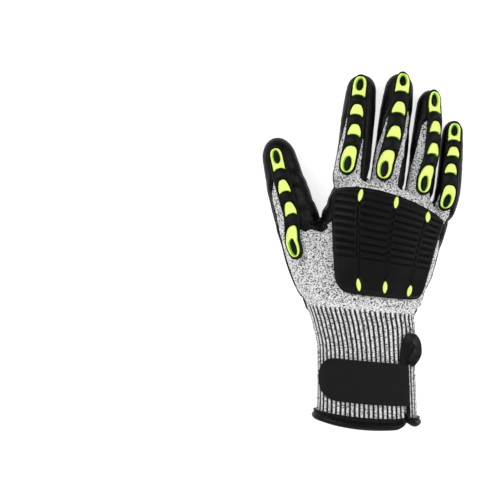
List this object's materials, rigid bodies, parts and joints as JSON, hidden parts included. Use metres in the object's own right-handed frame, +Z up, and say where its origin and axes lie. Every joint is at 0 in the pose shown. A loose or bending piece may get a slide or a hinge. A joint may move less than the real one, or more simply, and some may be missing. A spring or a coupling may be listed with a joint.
{
  "type": "impact glove",
  "caption": "Right-hand knitted work glove with a coated palm, moulded guards on the back, a ribbed cuff and a wrist strap, lying palm down.",
  "frame": {"origin": "middle of the footprint, on the surface the glove lies on", "axes": "+Z up out of the back of the hand, +Y from the hem to the fingertips, +X away from the thumb"},
  "size_m": [0.1472, 0.2588, 0.0465],
  "materials": {
    "knit": "marl grey knit of fine cut-resistant yarn",
    "nitrile_coating": "sandy matt nitrile",
    "guard_rubber": "smooth satin moulded rubber",
    "lime_rubber": "smooth satin moulded rubber",
    "strap_cloth": "matt brushed cloth, bare",
    "binding_tape": "folded woven tape"
  },
  "bodies": {
    "root": {"knitted_shell": "knit", "palm_coating": "nitrile_coating", "knuckle_guard": "guard_rubber", "knuckle_inlay_1": "lime_rubber", "knuckle_inlay_2": "lime_rubber", "knuckle_inlay_3": "lime_rubber", "knuckle_inlay_4": "lime_rubber", "knuckle_inlay_5": "lime_rubber", "knuckle_inlay_6": "lime_rubber", "index_guard": "guard_rubber", "index_inlay_base": "lime_rubber", "index_inlay_lower": "lime_rubber", "index_inlay_upper": "lime_rubber", "index_inlay_tip": "lime_rubber", "middle_guard": "guard_rubber", "middle_inlay_base": "lime_rubber", "middle_inlay_lower": "lime_rubber", "middle_inlay_upper": "lime_rubber", "middle_inlay_tip": "lime_rubber", "ring_guard": "guard_rubber", "ring_inlay_base": "lime_rubber", "ring_inlay_lower": "lime_rubber", "ring_inlay_upper": "lime_rubber", "ring_inlay_tip": "lime_rubber", "little_guard": "guard_rubber", "little_inlay_base": "lime_rubber", "little_inlay_lower": "lime_rubber", "little_inlay_upper": "lime_rubber", "little_inlay_tip": "lime_rubber", "thumb_guard": "guard_rubber", "thumb_inlay_base": "lime_rubber", "thumb_inlay_lower": "lime_rubber", "thumb_inlay_upper": "lime_rubber", "thumb_inlay_tip": "lime_rubber", "wrist_strap": "strap_cloth", "hem_binding": "binding_tape", "slit_binding": "binding_tape", "pull_loop": "binding_tape"}
  },
  "joints": []
}
